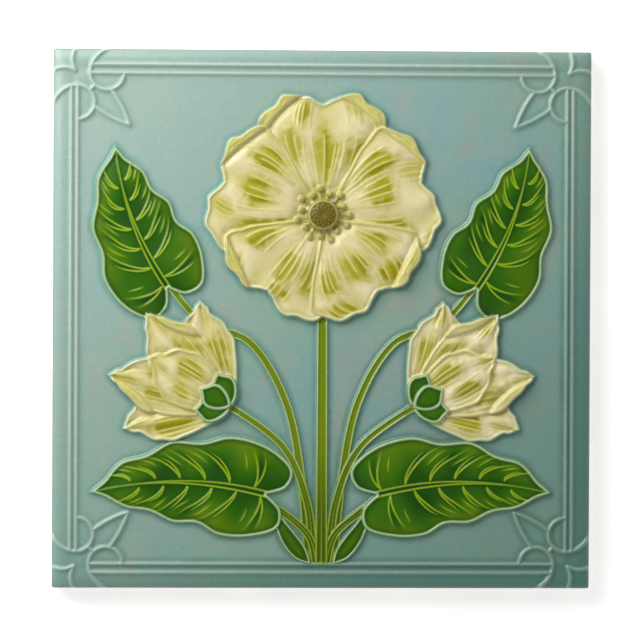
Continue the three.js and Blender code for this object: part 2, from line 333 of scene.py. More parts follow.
class Form:
    """A leaf, petal or blade on a bent midrib, as one closed outline and coordinates in it."""

    def __init__(self, base, tip, width, profile, bend=0.0, side=1, ruffle=0.0, seed=0):
        base, tip = mirrored(base, side), mirrored(tip, side)
        run = np.subtract(tip, base)
        across = np.array([-run[1], run[0]])
        middle = np.array(base) + run / 2 + across * bend * side
        self.length = float(np.hypot(*run))
        self.width = width
        self.midrib = bezier(base, middle, tip, 60)
        self.tangent = tangents(self.midrib)
        along, out = spline(profile, 10).T
        self.rims = {}
        for sign in (1, -1):
            wave = np.sin(np.linspace(0, 1, len(along)) * 31 + seed * 1.7 + sign * 0.6 * side)
            wave *= ruffle * smooth(0.8, 3.2, out * width)
            swell = 1 + wave * smooth(0.35, 0.7, along) / np.maximum(out * width, 1)
            reach = along + wave * smooth(0.85, 1, along) / self.length
            self.rims[sign] = self.place(reach, sign * out * width * swell)
        self.outline = np.vstack([self.rims[1], self.rims[-1][-2:0:-1]])
        self.spots = np.linspace(0, 1, 41)
        self.widths = [out[np.abs(along - spot) < 0.05].max(initial=0.02) for spot in self.spots]

    def half_width(self, along):
        return np.interp(along, self.spots, self.widths) * self.width

    def place(self, along, out):
        """Points at a share along the midrib and a distance to its left."""
        t = np.clip(along, 0, 1)
        grid = np.linspace(0, 1, len(self.midrib))
        root = np.column_stack([np.interp(t, grid, self.midrib[:, k]) for k in (0, 1)])
        tangent = np.column_stack([np.interp(t, grid, self.tangent[:, k]) for k in (0, 1)])
        beyond = (along - t) * self.length
        return root + tangent * beyond[:, None] + to_left(tangent) * out[:, None]

    def coordinates(self, x, y):
        """Share along the midrib and share of the half width to its left, at each place."""
        best = np.full(x.shape, np.inf)
        along, out = np.zeros(x.shape), np.zeros(x.shape)
        for k, ((px, py), (tx, ty)) in enumerate(zip(self.midrib, self.tangent)):
            dx, dy = x - px, y - py
            d = dx ** 2 + dy ** 2
            closer = d < best
            best = np.where(closer, d, best)
            share = k / (len(self.midrib) - 1)
            along = np.where(closer, share + (dx * tx + dy * ty) / self.length, along)
            out = np.where(closer, dy * tx - dx * ty, out)
        return along, out / np.maximum(self.half_width(along), 0.6)


def press(
    field, outline, surface, kind, owner, rim=RIM_HEIGHT, breadth=1, undercut=UNDERCUT, keep_rims=False,
):
    """Presses one closed form onto the field. surface(x, y, depth) gives its height and layers.

    rim and breadth are the height of the form's rim and its breadth beside the usual one.
    """
    window = field.window(outline)
    x, y = field.x[window], field.y[window]
    away = distance_to_path(x, y, np.vstack([outline, outline[:1]]))
    depth = np.where(inside_polygon(x, y, outline), away, -away)
    body = smooth(-0.4, 0.2, depth)
    ridge = bell(depth - RIM_INSET * breadth, RIM_SPREAD * breadth)
    pale = ridge * (1 - 0.75 * field.petal[window]) if kind == "petal" else ridge
    height, layers = surface(x, y, depth)

    before = field.height[window]
    covered = field.outside[window] <= 0
    lowered = before - undercut * bell(np.maximum(-depth, 0), UNDERCUT_SPREAD) * covered
    lowered = np.maximum(lowered, np.minimum(before, LOWEST_RELIEF))
    field.height[window] = mix(lowered, height, body) + rim * ridge

    cover = smooth(-0.24, 0.16, depth)
    layers = layers | {name: float(name == kind) for name in GLAZES}
    for layer in Field.LAYERS:
        array = getattr(field, layer)
        array[window] = mix(array[window], layers.get(layer, 0.0), cover)
    # inner: how deep a place lies in its form, which the leaf, petal and stem glazes darken near the
    # outline as painted shade
    field.inner[window] = np.where(depth > 0, np.minimum(depth, FAR), field.inner[window])
    covered_rims = field.ridge[window] * (1 if keep_rims else 1 - cover)
    field.ridge[window] = np.maximum(covered_rims, pale)

    outside = np.maximum(-depth, 0)
    nearer = (outside < field.outside[window]) | (depth > 0)
    field.owner[window] = np.where(nearer, owner, field.owner[window])
    field.outside[window] = np.minimum(field.outside[window], outside)


# What each kind of form looks like from above

def brushed(along, across, dab, streaks, warp):
    """One dab of olive, from 0 to 1: nearly solid outwards, and feathered towards the throat."""
    u = (along - dab["along"]) / dab["length"] + 0.5 * (warp - 0.5)
    v = (across - dab["across"]) / dab["width"] + 0.3 * (warp - 0.5)
    away = np.hypot(v, np.where(u > 0, u / 0.8, u / 1.3))
    body = 1 - smooth(0.05, 1.5, away)
    gaps = mix(0.75, 0.1, smooth(-1.1, 0.3, u))
    return np.clip(1.4 * body - (1 - streaks) * gaps, 0, 1) * dab["strength"]


def petal_dabs(seed, wide):
    """Where a petal is brushed with olive: round its middle and, more lightly, near its rim."""
    draw = np.random.default_rng(seed)

    def dab(along, across, sway, length, width, weakest):
        return {
            "along": draw.uniform(*along), "across": across + draw.uniform(-sway, sway),
            "length": draw.uniform(*length), "width": draw.uniform(*width) * (1 if wide else 1.6),
            "strength": draw.uniform(weakest, 1.0),
        }
    middle = (-0.6, 0.0, 0.55) if wide else (-0.4, 0.35)
    rim = (-0.7, 0.3) if wide else (0.0,)
    dabs = [dab((0.45, 0.62), across, 0.1, (0.19, 0.3), (0.22, 0.34), 0.8) for across in middle]
    return dabs + [dab((0.84, 0.92), across, 0.25, (0.1, 0.17), (0.16, 0.28), 0.6) for across in rim]


def dab_lines(form, dab, draw):
    """Fine raised lines that run through a dab and on towards the throat."""
    lines = []
    for share in (-0.75, -0.25, 0.25, 0.75):
        t = np.linspace(-1.2 + draw.uniform(-0.5, 0.4), 0.7 + draw.uniform(-0.3, 0.2), 8)
        along = np.clip(dab["along"] + dab["length"] * t, 0.1, 1)
        across = dab["across"] + dab["width"] * (share + draw.uniform(-0.15, 0.15)) * (1 + 0.1 * t)
        fade = np.sqrt(1 - np.linspace(-1, 1, len(t)) ** 4)
        lines.append((form.place(along, across * form.half_width(along)), dab["strength"] * fade))
    return lines


def petal_surface(form, rise, seed, cup=0.0, wide=False):
    draw = np.random.default_rng(seed + 300)
    dabs = petal_dabs(seed, wide)
    lines = [line for dab in dabs for line in dab_lines(form, dab, draw)]

    def surface(x, y, depth):
        along, across = form.coordinates(x, y)
        streaks = streak_noise(across, along, seed, (13, 21, 33, 47))
        broad = streak_noise(across, along, seed + 50, (3, 5, 8))
        warp = patch_noise(x, y, 7, seed + 90)
        folds = np.cos(across * 8.5 + 3 * along + seed) * smooth(0.12, 0.5, along)
        ruffles = np.cos(across * 13 + seed * 2) * smooth(0.68, 0.95, along)
        vein = raised_lines(x, y, lines, 0.36)
        height = rise + PETAL_DOME * dome(depth, 3.0) - cup * (1 - smooth(0.0, 0.6, along))
        height += PETAL_FOLD * folds + PETAL_RUFFLE * ruffles + PETAL_LINE * vein
        olive = np.zeros(x.shape)
        for dab in dabs:
            olive = np.maximum(olive, brushed(along, across, dab, streaks, warp))
        throat = (1 - smooth(0.1, 0.34, along)) * (0.25 + 0.75 * smooth(0.3, 0.7, streaks))
        olive = np.maximum(olive, 0.8 * throat) * smooth(0.2, 1.1, depth)
        deep = smooth(0.55, 1.0, olive) * smooth(0.2, 0.8, streaks)
        # Lighter on the crests of folds and ruffles and darker in their hollows as painted light and shade;
        # the broad streaks are the glaze's own tone
        tone = np.clip(0.55 + 0.25 * folds + 0.35 * (broad - 0.5) + 0.15 * ruffles, 0, 1)
        return height, {"olive": olive, "deep": deep, "vein": vein, "tone": tone}
    return surface


def press_lip(field, form, sign, start, end, width, rise, owner, seed):
    """A rim that rolls over: a crescent between part of a petal's outline and one smooth curve."""
    rim = form.rims[sign]
    part = rim[int(start * len(rim)):int(end * len(rim))]
    chord = part[-1] - part[0]
    outward = np.array([-chord[1], chord[0]]) * sign / np.hypot(*chord)
    out = (part - part[0]) @ outward
    share = np.clip((part - part[0]) @ chord / (chord @ chord), 0, 1)
    arch = np.minimum(4 * share * (1 - share) * (out.max() - width), out)
    fold = part[0] + share[:, None] * chord + arch[:, None] * outward
    outline = np.vstack([part, fold[-2:0:-1]])
    middle = (fold[len(fold) // 2] + part[len(part) // 2]) / 2
    lines = []
    for between, first, last in ((0.36, 0.25, 0.72), (0.62, 0.4, 0.66)):
        line = mix(fold, part, between)[int(first * len(part)):int(last * len(part))]
        lines.append((line, np.ones(len(line))))

    def surface(x, y, depth):
        along, across = form.coordinates(x, y)
        streaks = streak_noise(across, along, seed, (13, 21, 33))
        from_fold = distance_to_path(x, y, fold)
        roll = dome(from_fold, 0.7) * bell(from_fold, 1.8 * width)
        patch = bell(np.hypot(x - middle[0], y - middle[1]), 0.3 * np.hypot(*chord))
        olive = patch * smooth(0.2, 1.2, depth) * (0.5 + 0.5 * streaks)
        vein = raised_lines(x, y, lines, 0.4)
        height = rise + LIP_LIFT + LIP_ROLL * roll + LIP_LINE * vein
        # tone follows the roll: painted light on its crest, painted shade by the fold
        return height, {"olive": olive, "deep": smooth(0.6, 1, olive), "vein": vein, "tone": roll}
    press(field, outline, surface, "petal", owner, rim=0.12, undercut=0.5, keep_rims=True)


def leaf_veins(form):
    """Midrib, forked side veins and short strokes between them, with strengths that fade out.

    Each fork leaves one point beside the midrib and opens round a channel, darkened with painted shade.
    Returns the paths of the raised lines and those of the channels.
    """
    lines, channels = [], []
    shares = np.linspace(0.0, 0.96, 17)
    for sign in (1, -1):
        apart = sign * 0.75 * (1 - smooth(0.05, 0.85, shares))
        lines.append((form.place(shares, apart), 1 - 0.4 * shares))
    channels.append((form.place(shares, 0 * shares), 1 - smooth(0.5, 0.95, shares)))
    t = np.linspace(0, 1, 13)
    opening = 1.8 / form.length * t ** 0.8
    for k in range(6):
        for sign in (1, -1):
            start = 0.03 + 0.14 * k + (0.045 if sign < 0 else 0)
            along = start + (0.23 - 0.012 * k) * t ** 1.35 - 0.2 * (k == 0) * t
            reach = form.half_width(np.clip(along, 0.02, 1)) * (0.93 - 0.03 * k)
            out = sign * (1.3 + (reach - 1.3) * t ** 0.9)
            fade = np.clip(1.6 - 1.6 * t, 0, 1) ** 0.6
            lines.append((form.place(along + opening, out), fade))
            lines.append((form.place(along - opening, out * 0.96), 0.9 * fade * (1 - smooth(0.7, 0.95, t))))
            channels.append((form.place(along, out), np.sin(np.pi * t)))
            if k < 5:
                stroke = t[4:11]
                ahead = along[4:11] + 0.075
                swell = 0.75 * np.sin(np.pi * (stroke - t[3]) / (t[11] - t[3]))
                lines.append((form.place(ahead, out[4:11] * 0.93), swell))
    return lines, channels


def leaf_surface(form, rise, seed):
    lines, channels = leaf_veins(form)

    def surface(x, y, depth):
        along, across = form.coordinates(x, y)
        vein = raised_lines(x, y, lines, 0.32)
        channel = raised_lines(x, y, channels, 0.9)
        sway = patch_noise(x, y, 22, seed, 2) - 0.5
        margin = smooth(0.0, 1.0, np.abs(across) + 0.5 * sway)
        height = rise + LEAF_DOME * dome(depth, 3.4) + LEAF_SWAY * sway
        height += LEAF_VEIN * vein - LEAF_CHANNEL * channel
        # Darker in the vein channels as painted shade and lighter on the raised swells as painted light;
        # the lighter margins and tip are the leaf's own colour
        tone = 0.16 + 0.6 * margin + 0.25 * smooth(0.5, 1.0, along) - 0.45 * channel + 0.15 * sway
        return height, {"vein": vein, "tone": np.clip(tone, 0, 1)}
    return surface


def plain_surface(rise, crown, tone, olive=0.0):
    def surface(x, y, depth):
        return rise + crown * dome(depth, 1.2), {"tone": tone, "olive": olive}
    return surface


def stem_surface(path):
    """A stem, deeper in colour towards its foot and with one raised line along its middle there."""
    def surface(x, y, depth):
        up = smooth(FOOT_Y, FOOT_Y + 45, y)
        line = 0.7 * bell(distance_to_path(x, y, path), 0.26) * (1 - up)
        height = STEM_RISE + 0.12 * dome(depth, 1.2) + 0.15 * line
        return height, {"tone": up, "vein": line}
    return surface


def stem_outline(path, foot_width):
    half = np.linspace(foot_width, foot_width * STEM_TAPER, len(path))[:, None] / 2
    aside = to_left(tangents(path)) * half
    return np.vstack([path + aside, (path - aside)[::-1]])


# Border and corner ornaments

def corner_curves():
    """One corner's lines, with the tile's corner at 0, 0."""
    left = LOOP_ALONG - LOOP_RADIUS
    horn = bezier((LOOP_ALONG, 0.0), (left, HORN_TURN), (left, INNER_LINE_INSET), 10)
    centre = np.array([LOOP_ALONG, INNER_LINE_INSET])
    loop = arc(centre, LOOP_RADIUS, 180, 0, 24)
    bud_foot = centre + (BUD_FOOT, LOOP_RADIUS)
    bud = bezier(bud_foot, np.subtract(BUD_TIP, BUD_BULGE), (BUD_TIP, BUD_TIP), 10)
    leg = bezier(
        (SQUARE_SIDE, 0.0), (SQUARE_SIDE - SQUARE_HOLLOW, SQUARE_SIDE / 2), (SQUARE_SIDE, SQUARE_SIDE), 8,
    )
    diagonal = np.full(2, (LOOP_ALONG + INNER_LINE_INSET) / 2)
    towards = diagonal - centre
    knot = np.array([centre + towards / np.hypot(*towards) * LOOP_RADIUS, diagonal])
    return [np.vstack([horn, loop[1:]]), bud, leg, knot]


def border(field):
    """The sloping edge, the raised lines and the corner ornaments."""
    inset_x = TILE_WIDTH / 2 - np.abs(field.x)
    inset_y = TILE_LENGTH / 2 - np.abs(field.y)
    nearer_side = np.clip(0.5 + 0.5 * (inset_y - inset_x) / MITRE_SOFTNESS, 0, 1)
    inset = mix(inset_y, inset_x, nearer_side) - MITRE_SOFTNESS * nearer_side * (1 - nearer_side)
    inset = np.clip(inset, 0, None)

    slope = np.clip(1 - inset / BORDER_WIDTH, 0, 1)
    height = -BORDER_DROP * (1 - np.sqrt(np.clip(1 - slope ** 2, 0, 1)))
    height -= GUTTER_DEPTH * bell(inset - (OUTER_LINE_INSET + INNER_LINE_INSET) / 2, 1.0)
    field.border = 1 - smooth(INNER_LINE_INSET - 1, INNER_LINE_INSET + 1.5, inset)

    line = np.full(field.x.shape, FAR)
    loop_start = LOOP_ALONG - LOOP_RADIUS
    for side_inset, level_inset, reach in (
        (OUTER_SIDE_INSET, OUTER_LINE_INSET, loop_start + OUTER_LINE_GAP),
        (INNER_LINE_INSET, INNER_LINE_INSET, loop_start),
    ):
        over_x = np.maximum(reach - inset_x, 0)
        over_y = np.maximum(reach - inset_y, 0)
        line = np.minimum(line, np.hypot(inset_y - level_inset, over_x))
        line = np.minimum(line, np.hypot(inset_x - side_inset, over_y))
    size = max(BUD_TIP, LOOP_ALONG + LOOP_RADIUS) + 4
    near = (inset_x < size) & (inset_y < size)
    u, v = inset_x[near], inset_y[near]
    ornament = np.full(u.shape, FAR)
    for curve in corner_curves():
        ornament = np.minimum(ornament, distance_to_path(u, v, curve))
        ornament = np.minimum(ornament, distance_to_path(v, u, curve))
    line[near] = np.minimum(line[near], ornament)

    field.line = np.minimum(line, FAR)
    field.ridge = bell(field.line, LINE_SPREAD)
    field.height = height + LINE_HEIGHT * field.ridge * smooth(0.0, 0.7, inset)
    field.height += GROUND_WAVE * (patch_noise(field.x, field.y, 34, 3) - 0.5) * smooth(8, 12, inset)


# The picture

OWNERS = [
    "stems", "leaf_upper_left", "leaf_upper_right", "leaf_lower_left", "leaf_lower_right",
    "blossom_top", "blossom_left", "blossom_right",
]


def owner_of(name):
    return OWNERS.index(name) + 1


def side_name(side):
    return "right" if side > 0 else "left"


def lapped(base, tip):
    run = np.subtract(tip, base)
    return tuple(np.array(base) + run / np.hypot(*run) * STEM_LAP)


def press_stems(field):
    upper_end = lapped(UPPER_LEAF["base"], UPPER_LEAF["tip"])
    lower_end = lapped(LOWER_LEAF["base"], LOWER_LEAF["tip"])
    side_end = polar(SIDE_BLOSSOM, SIDE_TURN, STEM_LAP)
    routes = [
        [(3.4, FOOT_Y), (5.6, -46), (10, -24), (20, -7), (34, -1), upper_end],
        [(2.2, FOOT_Y), (4.0, -52), (11, -36), side_end],
        [(1.4, FOOT_Y), (4.5, -60), lower_end],
    ]
    stems = []
    for side in (-1, 1):
        for route in routes:
            stems.append(([mirrored(point, side) for point in route], BRANCH_STEM_WIDTH))
    stems.append(([(0, FOOT_Y), BLOSSOM_CENTRE], MAIN_STEM_WIDTH))
    for points, width in stems:
        path = spline(points, 10)
        outline, surface = stem_outline(path, width), stem_surface(path)
        press(
            field, outline, surface, "stem", owner_of("stems"), SLIM_RIM_HEIGHT, SLIM_RIM_BREADTH,
            undercut=SLIM_UNDERCUT,
        )
    for side in (-1, 1):
        foot = (BLADE_FOOT_X, FOOT_Y)
        tip = polar(foot, BLADE_TURN, BLADE_LENGTH)
        form = Form(foot, tip, BLADE_WIDTH, BLADE_PROFILE, -BLADE_BEND, side)
        surface = plain_surface(STEM_RISE + 0.1, 0.15, 0.6)
        press(field, form.outline, surface, "leaf", owner_of("stems"), SLIM_RIM_HEIGHT, SLIM_RIM_BREADTH)


def press_leaves(field):
    for side in (-1, 1):
        for name, leaf in (("upper", UPPER_LEAF), ("lower", LOWER_LEAF)):
            form = Form(
                leaf["base"], leaf["tip"], leaf["width"], LEAF_PROFILE, leaf["bend"], side,
                ruffle=0.25, seed=4,
            )
            surface = leaf_surface(form, LEAF_RISE, 11 + side + len(name))
            press(field, form.outline, surface, "leaf", owner_of(f"leaf_{name}_{side_name(side)}"))


def fanned(centre, degrees, reach, width, profile, bend=0.0, side=1, ruffle=0.0, seed=0):
    """A petal that points away from its blossom's centre."""
    base, tip = polar(centre, degrees, PETAL_ROOT), polar(centre, degrees, reach)
    return Form(base, tip, width, profile, bend, side, ruffle, seed)


def press_blossom(field):
    centre, owner = BLOSSOM_CENTRE, owner_of("blossom_top")
    petals = []
    for k in range(BLOSSOM_PETALS):
        degrees = 90 + 360 / BLOSSOM_PETALS * k
        upward = (1 + math.sin(math.radians(degrees))) / 2
        petals.append((upward, degrees, k))
    for upward, degrees, k in sorted(petals, reverse=True):
        reach = mix(BLOSSOM_LOWER_REACH, BLOSSOM_UPPER_REACH, upward)
        side = -1 if k in (1, 2) else 1
        form = fanned(
            centre, degrees, reach, BLOSSOM_PETAL_WIDTH, PETAL_PROFILE,
            ruffle=0.5, seed=min(k, BLOSSOM_PETALS - k) + 3,
        )
        rise = PETAL_RISE + PETAL_STEP * (1 - upward) * 2
        surface = petal_surface(form, rise, 20 + k, cup=0.5, wide=True)
        press(field, form.outline, surface, "petal", owner)
        if k == 0:
            press_lip(field, form, 1, 0.36, 0.78, 3.4, rise, owner, 3)
            press_lip(field, form, -1, 0.36, 0.82, 3.6, rise, owner, 3)
        else:
            press_lip(field, form, side, 0.42, 0.84, 3.6, rise, owner, 5 + k)
    thread_surface = plain_surface(STAMEN_RISE, 0.1, 0.7, 0.7)
    bead_surface = plain_surface(BEAD_RISE, 0.4, 0.8, 0.35)
    for k in range(STAMEN_COUNT):
        turn = 360 / STAMEN_COUNT * k
        end = polar(centre, turn, BOSS_RADIUS + STAMEN_REACHES[k % 2])
        thread = stem_outline(np.array([polar(centre, turn, BOSS_RADIUS - 0.5), end]), STAMEN_WIDTH)
        press(field, thread, thread_surface, "boss", owner, rim=0.0, undercut=SLIM_UNDERCUT)
        press(field, arc(end, BEAD_RADIUS, 0, 360, 14)[:-1], bead_surface, "boss", owner, rim=0.0)
    boss = arc(centre, BOSS_RADIUS, 0, 360, 40)[:-1]

    def boss_surface(x, y, depth):
        turn = np.arctan2(y - centre[1], x - centre[0])
        away = BOSS_RADIUS - depth
        seeds = 0.5 + 0.5 * np.cos(turn * 12) * np.cos(away * 4.2)
        cushion = np.sqrt(np.clip(1 - (away / BOSS_RADIUS) ** 2, 0, 1))
        height = BOSS_RISE + 1.15 * cushion + 0.1 * seeds * cushion - 0.3 * bell(away, 0.9)
        return height, {"olive": 1 - 0.5 * seeds, "deep": 0.6 - 0.5 * seeds, "tone": seeds}
    press(field, boss, boss_surface, "boss", owner, rim=0.12)


def press_side_blossoms(field):
    petals = [
        (SIDE_OUTER_FAN, SIDE_OUTER_REACH, SIDE_OUTER_BEND, 0),
        (-SIDE_OUTER_FAN, SIDE_OUTER_REACH, -SIDE_OUTER_BEND, 0),
        (SIDE_INNER_FAN, SIDE_INNER_REACH, SIDE_INNER_BEND, 1),
        (-SIDE_INNER_FAN, SIDE_INNER_REACH, -SIDE_INNER_BEND, 1),
        (0, SIDE_FRONT_REACH, 0.0, 2),
    ]
    for side in (-1, 1):
        owner = owner_of(f"blossom_{side_name(side)}")
        for k, (fan, reach, bend, layer) in enumerate(petals):
            form = fanned(
                SIDE_BLOSSOM, SIDE_TURN + fan, reach, SIDE_PETAL_WIDTH, SLIM_PETAL_PROFILE,
                -bend, side, ruffle=0.3, seed=k,
            )
            rise = PETAL_RISE + PETAL_STEP * layer
            surface = petal_surface(form, rise, 40 + k + 7 * side)
            press(field, form.outline, surface, "petal", owner)
            if layer == 1:
                press_lip(field, form, side * (1 if fan > 0 else -1), 0.45, 0.92, 3.2, rise, owner, k)
        for fan in (-CALYX_FAN, CALYX_FAN, 0):
            form = fanned(
                SIDE_BLOSSOM, SIDE_TURN + fan, CALYX_REACH, CALYX_WIDTH, SLIM_PETAL_PROFILE, side=side,
            )
            surface = plain_surface(PETAL_RISE + PETAL_STEP * 2.8, 0.35, 0.5)
            press(field, form.outline, surface, "leaf", owner)


def positions(length):
    return np.linspace(-length / 2, length / 2, int(round(length / FIELD_STEP)) + 1)


def make_picture():
    field = Field(positions(TILE_WIDTH), positions(TILE_LENGTH))
    border(field)
    press_stems(field)
    press_leaves(field)
    press_blossom(field)
    press_side_blossoms(field)
    return field


# Meshes

ATTRIBUTES = Field.LAYERS + ("outside", "line", "border")

# A raised form's piece goes on a little past the form, dips into the face there, and ends
# in the body
RELIEF_MARGIN = 0.6
RELIEF_SKIRT = 0.5
RELIEF_DIP = 1.2
RELIEF_DEPTH = 0.9
RELIEF_LIFT = 0.01

# The face is fine near its edges, where the border lies, and coarse in its middle
FINE_ZONE = 22.6
FINE_STEP = 0.262
COARSE_STEP = 1.3
EDGE_STEPS = (0.0, 0.06, 0.14, 0.26, 0.45)
EDGE_RADIUS = 0.5

# The bare clay lies inside the glaze, which ends on the sides in a wavy edge
GLAZE_END_Z = 3.1
CLAY_INSET = 0.12
CLAY_CHAMFER = 0.6
GROOVE_SOFTNESS = 0.35


def mesh_object(name, vertices, faces, smooth_count, values, material):
    """An object from points in millimetres, with its first faces smooth and the rest flat.

    values holds what its first points carry for the glazes.
    """
    mesh = bpy.data.meshes.new(name)
    mesh.from_pydata((np.asarray(vertices) * MM).tolist(), [], faces)
    flags = np.zeros(len(mesh.polygons), bool)
    flags[:smooth_count] = True
    mesh.polygons.foreach_set("use_smooth", flags)
    for key, value in values.items():
        data = np.zeros(len(mesh.vertices), np.float32)
        data[:len(value)] = value
        mesh.attributes.new(key, "FLOAT", "POINT").data.foreach_set("value", data)
    mesh.materials.append(material)
    mesh.update()
    piece = bpy.data.objects.new(name, mesh)
    bpy.context.scene.collection.objects.link(piece)
    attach(piece, "root")
    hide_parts("tile")
    return piece


def grid_index(grid):
    """The places of a grid's points in a list that holds it row by row."""
    return np.arange(grid.size).reshape(grid.shape)


def grid_faces(grid):
    index = grid_index(grid)
    corners = (index[:-1, :-1], index[:-1, 1:], index[1:, 1:], index[1:, :-1])
    return np.stack([corner.ravel() for corner in corners], 1)


def grid_ring(grid):
    """A grid's outermost points, once round."""
    index = grid_index(grid)
    return np.concatenate([index[0, :-1], index[:-1, -1], index[-1, :0:-1], index[:0:-1, 0]])


def claim_cells(field):
    """Gives each cell on or near a form to one piece, whose cells never meet at a corner alone."""
    reach = np.minimum.reduce([
        field.outside[:-1, :-1], field.outside[1:, :-1],
        field.outside[:-1, 1:], field.outside[1:, 1:],
    ])
    cells = np.where(reach < RELIEF_MARGIN + RELIEF_SKIRT, field.owner[:-1, :-1], 0)
    found = True
    while found:
        found = False
        for owner in range(1, len(OWNERS) + 1):
            mine = cells == owner
            a, b, c, d = mine[:-1, :-1], mine[:-1, 1:], mine[1:, :-1], mine[1:, 1:]
            falling = a & d & ~b & ~c
            rising = b & c & ~a & ~d
            cells[:-1, 1:][falling] = owner
            cells[:-1, :-1][rising] = owner
            found = found or falling.any() or rising.any()
    return cells


def relief_piece(field, cells, owner, material):
    """One raised form as a closed solid that starts under the ground's surface."""
    quads = grid_faces(field.x)[cells.ravel() == owner]
    used, flat = np.unique(quads, return_inverse=True)
    quads = flat.reshape(-1, 4)
    dip = np.clip(field.outside.ravel()[used] - RELIEF_MARGIN, 0, None)
    z = GROUND_Z + field.height.ravel()[used] + RELIEF_LIFT - RELIEF_DIP * dip
    top = np.column_stack([field.x.ravel()[used], field.y.ravel()[used], z])

    edges = np.vstack([quads[:, [k, (k + 1) % 4]] for k in range(4)])
    keys = edges[:, 0].astype(np.int64) * len(used) + edges[:, 1]
    back = edges[:, 1].astype(np.int64) * len(used) + edges[:, 0]
    rim = edges[~np.isin(keys, back)]
    rim_points = np.unique(rim)
    floor_of = {int(p): len(used) + k for k, p in enumerate(rim_points)}
    floor = top[rim_points].copy()
    floor[:, 2] = GROUND_Z - RELIEF_DEPTH
    walls = [(int(b), int(a), floor_of[int(a)], floor_of[int(b)]) for a, b in rim]

    vertices = np.vstack([top, floor])
    faces = quads.tolist() + walls
    values = {name: getattr(field, name).ravel()[used] for name in ATTRIBUTES}
    close_floor(mesh_object(OWNERS[owner - 1], vertices, faces, len(quads), values, material))


def close_floor(piece):
    """Fills the open edge loops at the underside with flat triangles."""
    shape = bmesh.new()
    shape.from_mesh(piece.data)
    open_edges = [edge for edge in shape.edges if edge.is_boundary]
    bmesh.ops.triangle_fill(shape, use_beauty=True, edges=open_edges, normal=(0, 0, -1))
    shape.to_mesh(piece.data)
    shape.free()


def rounded_plan(x, y, width, length, radius):
    """Moves points of a rectangle's grid so that its corners are round."""
    inner_x, inner_y = width / 2 - radius, length / 2 - radius
    u = np.clip((np.abs(x) - inner_x) / radius, 0, 1)
    v = np.clip((np.abs(y) - inner_y) / radius, 0, 1)
    corner = (u > 0) & (v > 0)
    round_x = np.sign(x) * (inner_x + radius * u * np.sqrt(1 - v * v / 2))
    round_y = np.sign(y) * (inner_y + radius * v * np.sqrt(1 - u * u / 2))
    return np.where(corner, round_x, x), np.where(corner, round_y, y)


def slab(name, x, y, top_z, side_rows, values, material):
    """A closed block: a grid as its top, walls through the rows given, and a flat underside.

    side_rows is a list of (inset, z) for each ring of the walls below the top's edge, and z may be
    an array with one value for each point of the ring.
    """
    width, length = x[-1] - x[0], y[-1] - y[0]
    plan_x, plan_y = rounded_plan(*np.meshgrid(x, y), width, length, PLAN_CORNER_RADIUS)
    vertices = [np.column_stack([plan_x.ravel(), plan_y.ravel(), top_z.ravel()])]
    faces = grid_faces(top_z).tolist()

    ring = grid_ring(top_z)
    ring_xy = vertices[0][ring, :2]
    above = ring
    total = len(vertices[0])
    for inset, z in side_rows:
        scale = np.array([1 - 2 * inset / width, 1 - 2 * inset / length])
        points = np.column_stack([ring_xy * scale, np.broadcast_to(z, len(ring))])
        below = total + np.arange(len(ring))
        total += len(ring)
        vertices.append(points)
        faces += np.stack([above, below, np.roll(below, -1), np.roll(above, -1)], 1).tolist()
        above = below
    smooth_count = len(faces)
    faces.append(above.tolist()[::-1])
    order = np.concatenate([np.arange(top_z.size), np.tile(ring, len(side_rows))])
    values = {key: value.ravel()[order] for key, value in values.items()}
    return mesh_object(name, np.vstack(vertices), faces, smooth_count, values, material)


def graded(length):
    """Positions across the tile: close together near its edges, further apart in the middle."""
    near = np.concatenate([EDGE_STEPS[:-1], np.arange(EDGE_STEPS[-1], FINE_ZONE, FINE_STEP)])
    near -= length / 2
    count = max(int(round(-2 * near[-1] / COARSE_STEP)), 2)
    inner = np.linspace(near[-1], -near[-1], count + 1)[1:-1]
    return np.concatenate([near, inner, -near[::-1]])


def outside_on(picture, x, y):
    """The distance from the picture's forms, on another grid."""
    across = np.array([np.interp(x, picture.x[0], row) for row in picture.outside])
    return np.array([np.interp(y, picture.y[:, 0], column) for column in across.T]).T


def make_face(picture, material):
    """The glazed face with its border: a slab that wraps a little way down the sides."""
    x, y = graded(TILE_WIDTH), graded(TILE_LENGTH)
    field = Field(x, y)
    border(field)
    field.outside = outside_on(picture, x, y)
    inset = np.minimum(TILE_WIDTH / 2 - np.abs(field.x), TILE_LENGTH / 2 - np.abs(field.y))
    over = np.clip(EDGE_RADIUS - inset, 0, EDGE_RADIUS)
    rounding = EDGE_RADIUS - np.sqrt(np.maximum(EDGE_RADIUS ** 2 - over ** 2, 0))
    top = GROUND_Z + field.height - rounding
    ring = grid_ring(top)
    turn = np.arctan2(field.y.ravel()[ring], field.x.ravel()[ring])
    end = GLAZE_END_Z + 0.5 * np.sin(turn * 9 + 1) + 0.35 * np.sin(turn * 23)
    end += 0.2 * np.sin(turn * 41 + 2)
    brim = GROUND_Z - BORDER_DROP - EDGE_RADIUS
    rows = [(0.0, mix(brim, end, t)) for t in (0.06, 0.3, 0.6, 0.85, 0.95)]
    rows += [(0.06, end - 0.12), (0.22, end - 0.16)]
    values = {name: getattr(field, name) for name in ATTRIBUTES}
    slab("glazed_face", x, y, top, rows, values, material)


def body_positions(half, others):
    """Positions across the clay: even ones, closer ones at its two edges, and the others given."""
    edge = np.array([0, 0.15, 0.35, 0.6, 0.9, 1.2])
    return np.unique(np.concatenate([-half + edge, half - edge, others, np.linspace(-half, half, 60)]))


